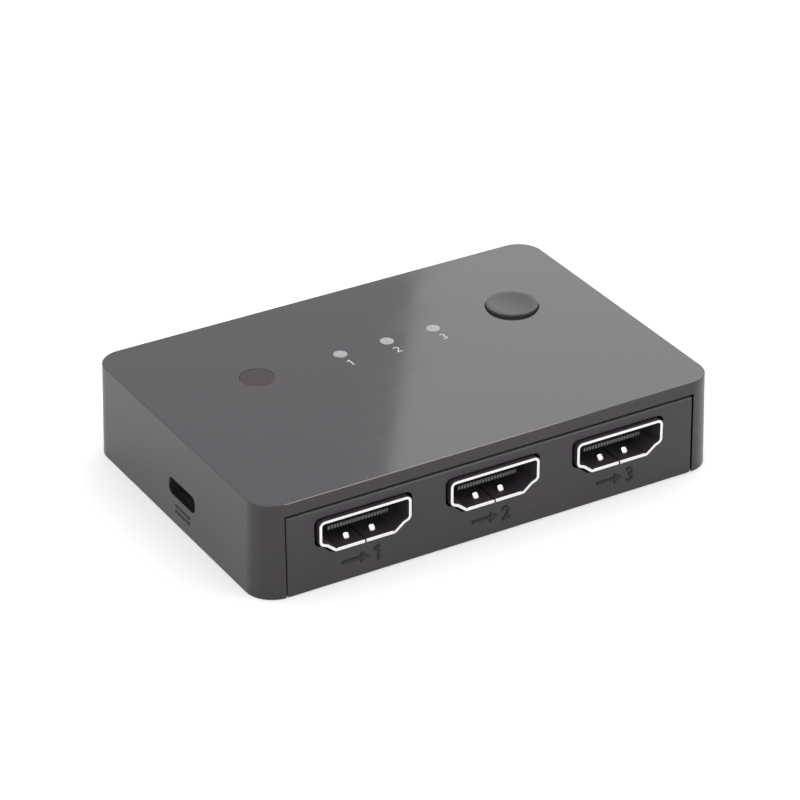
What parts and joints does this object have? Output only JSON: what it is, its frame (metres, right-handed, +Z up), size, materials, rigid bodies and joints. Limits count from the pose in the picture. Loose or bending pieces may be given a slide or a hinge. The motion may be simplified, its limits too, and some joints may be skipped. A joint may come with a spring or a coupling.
{
  "type": "video switch box",
  "caption": "Flat rounded plastic box with video input sockets along the front, an output socket behind, a side power slot, and a select button, indicators and receiver window on top.",
  "frame": {"origin": "under the middle of the case, on the surface that it stands on", "axes": "+X along the case's width with the power socket on the -X side, -Y towards the input sockets, +Z up"},
  "size_m": [0.0766, 0.053, 0.0155],
  "materials": {
    "case_plastic": "black moulding, polished top and fine satin sides",
    "panel_plastic": "black moulding with a fine satin grain",
    "base_plastic": "black moulding with a fine grain",
    "socket_steel": "bright nickel-plated sheet",
    "socket_plastic": "black heat-resistant moulding",
    "contact_gold": "thin gold plate on copper alloy",
    "board_laminate": "green solder mask on glass-fibre laminate",
    "button_plastic": "satin black moulding with a dished top",
    "switch_plastic": "black switch moulding",
    "plunger_plastic": "natural white switch moulding",
    "lamp_resin": "milky lamp resin",
    "guide_acrylic": "clear acrylic",
    "window_resin": "dark red infrared-clear resin",
    "chip_epoxy": "black moulding compound",
    "can_aluminium": "bare drawn can",
    "screw_steel": "zinc-plated screw"
  },
  "bodies": {
    "case": {"upper_shell": "case_plastic", "base_plate": "base_plastic", "front_panel": "panel_plastic", "rear_panel": "panel_plastic", "case_screws": "screw_steel", "circuit_board": "board_laminate", "input_1_shell": "socket_steel", "input_2_shell": "socket_steel", "input_3_shell": "socket_steel", "output_shell": "socket_steel", "power_socket_shell": "socket_steel", "input_1_insulator": "socket_plastic", "input_2_insulator": "socket_plastic", "input_3_insulator": "socket_plastic", "output_insulator": "socket_plastic", "power_socket_insulator": "socket_plastic", "input_1_contacts": "contact_gold", "input_2_contacts": "contact_gold", "input_3_contacts": "contact_gold", "output_contacts": "contact_gold", "power_socket_contacts": "contact_gold", "press_switch_body": "switch_plastic", "lamp_1": "lamp_resin", "lamp_2": "lamp_resin", "lamp_3": "lamp_resin", "light_guide": "guide_acrylic", "receiver_window": "window_resin", "remote_receiver": "window_resin", "switching_chip": "chip_epoxy", "control_chip": "chip_epoxy", "voltage_regulator": "chip_epoxy", "smoothing_capacitor": "can_aluminium"},
    "button": {"select_button": "button_plastic", "press_switch_plunger": "plunger_plastic"}
  },
  "joints": [
    {"name": "select_press", "type": "slide", "parent": "case", "child": "button", "axis": [0, 0, -1], "range_m": [0, 0.0003], "stiffness_N_per_m": 1500, "springref_m": -0.0003}
  ]
}
